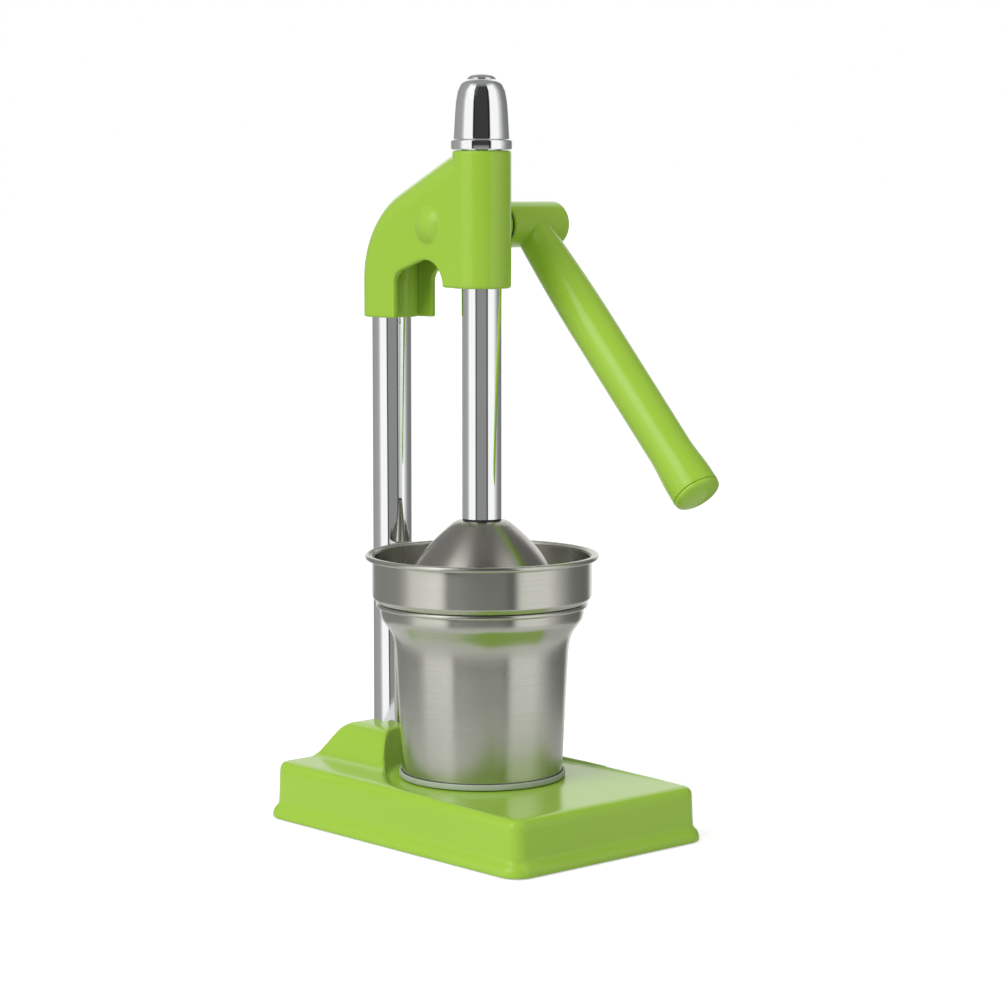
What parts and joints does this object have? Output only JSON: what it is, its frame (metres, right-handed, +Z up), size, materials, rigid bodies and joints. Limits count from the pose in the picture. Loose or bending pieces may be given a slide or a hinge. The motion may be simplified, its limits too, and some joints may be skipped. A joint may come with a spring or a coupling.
{
  "type": "citrus press",
  "caption": "Upright lever citrus press: cast base and head, chrome column and ram, steel pressing bell over a strainer funnel and juice cup.",
  "frame": {"origin": "middle of the base at counter level, on the axis of the ram", "axes": "+Z up along the ram, +Y towards the column, +X towards the lever"},
  "size_m": [0.1341, 0.1945, 0.365],
  "materials": {
    "lime_paint": "glossy lime paint over a casting",
    "mirror_chrome": "polished chrome plate",
    "satin_steel": "satin stainless steel, brushed round the axis",
    "zinc_steel": "bright zinc plate",
    "tool_steel": "machined steel, lightly oiled",
    "bush_plastic": "natural sliding-bearing plastic",
    "bush_brass": "plain bearing bronze",
    "dark_rubber": "black rubber",
    "pale_rubber": "pale grey rubber"
  },
  "bodies": {
    "stand": {"base_shell": "lime_paint", "bottom_plate": "zinc_steel", "non_slip_pad": "dark_rubber", "base_screws": "zinc_steel", "column_tube": "mirror_chrome", "column_foot_plug": "zinc_steel", "column_clamp_plate": "zinc_steel", "column_washer": "zinc_steel", "column_bolt": "zinc_steel", "head_housing": "lime_paint", "head_set_screws": "zinc_steel", "ram_bush_upper": "bush_plastic", "ram_bush_lower": "bush_plastic", "shaft_bush_left": "bush_brass", "shaft_bush_right": "bush_brass", "thrust_washer": "dark_rubber"},
    "ram": {"ram_bar": "mirror_chrome", "ram_cap": "mirror_chrome", "cap_stud": "zinc_steel", "bell_seal": "dark_rubber", "press_bell": "satin_steel", "bell_washer": "zinc_steel", "bell_screw": "zinc_steel"},
    "lever": {"lever_body": "lime_paint", "lever_end_plug": "lime_paint", "pinion_shaft": "tool_steel", "pinion_gear": "tool_steel", "pinion_pin": "zinc_steel", "drive_key": "zinc_steel", "hub_washer": "zinc_steel", "hub_screw": "zinc_steel"},
    "juice_cup": {"cup": "satin_steel", "cup_foot_ring": "pale_rubber"},
    "strainer": {"funnel": "satin_steel", "strainer_dome": "satin_steel"}
  },
  "joints": [
    {"name": "lever_turn", "type": "hinge", "parent": "stand", "child": "lever", "pos_m": [0, 0.024, 0.293], "axis": [-1, 0, 0], "range_deg": [0, 165]},
    {"name": "ram_slide", "type": "slide", "parent": "stand", "child": "ram", "axis": [0, 0, 1], "range_m": [0, 0.0433]},
    {"name": "cup_turn", "type": "hinge", "parent": "stand", "child": "juice_cup", "pos_m": [0, 0, 0.0263], "axis": [0, 0, 1], "continuous": true},
    {"name": "strainer_turn", "type": "hinge", "parent": "juice_cup", "child": "strainer", "pos_m": [0, 0, 0.1094], "axis": [0, 0, 1], "continuous": true}
  ],
  "couplings": [
    {"joint": "ram_slide", "follows": "lever_turn", "m_per_rad": 0.015}
  ]
}
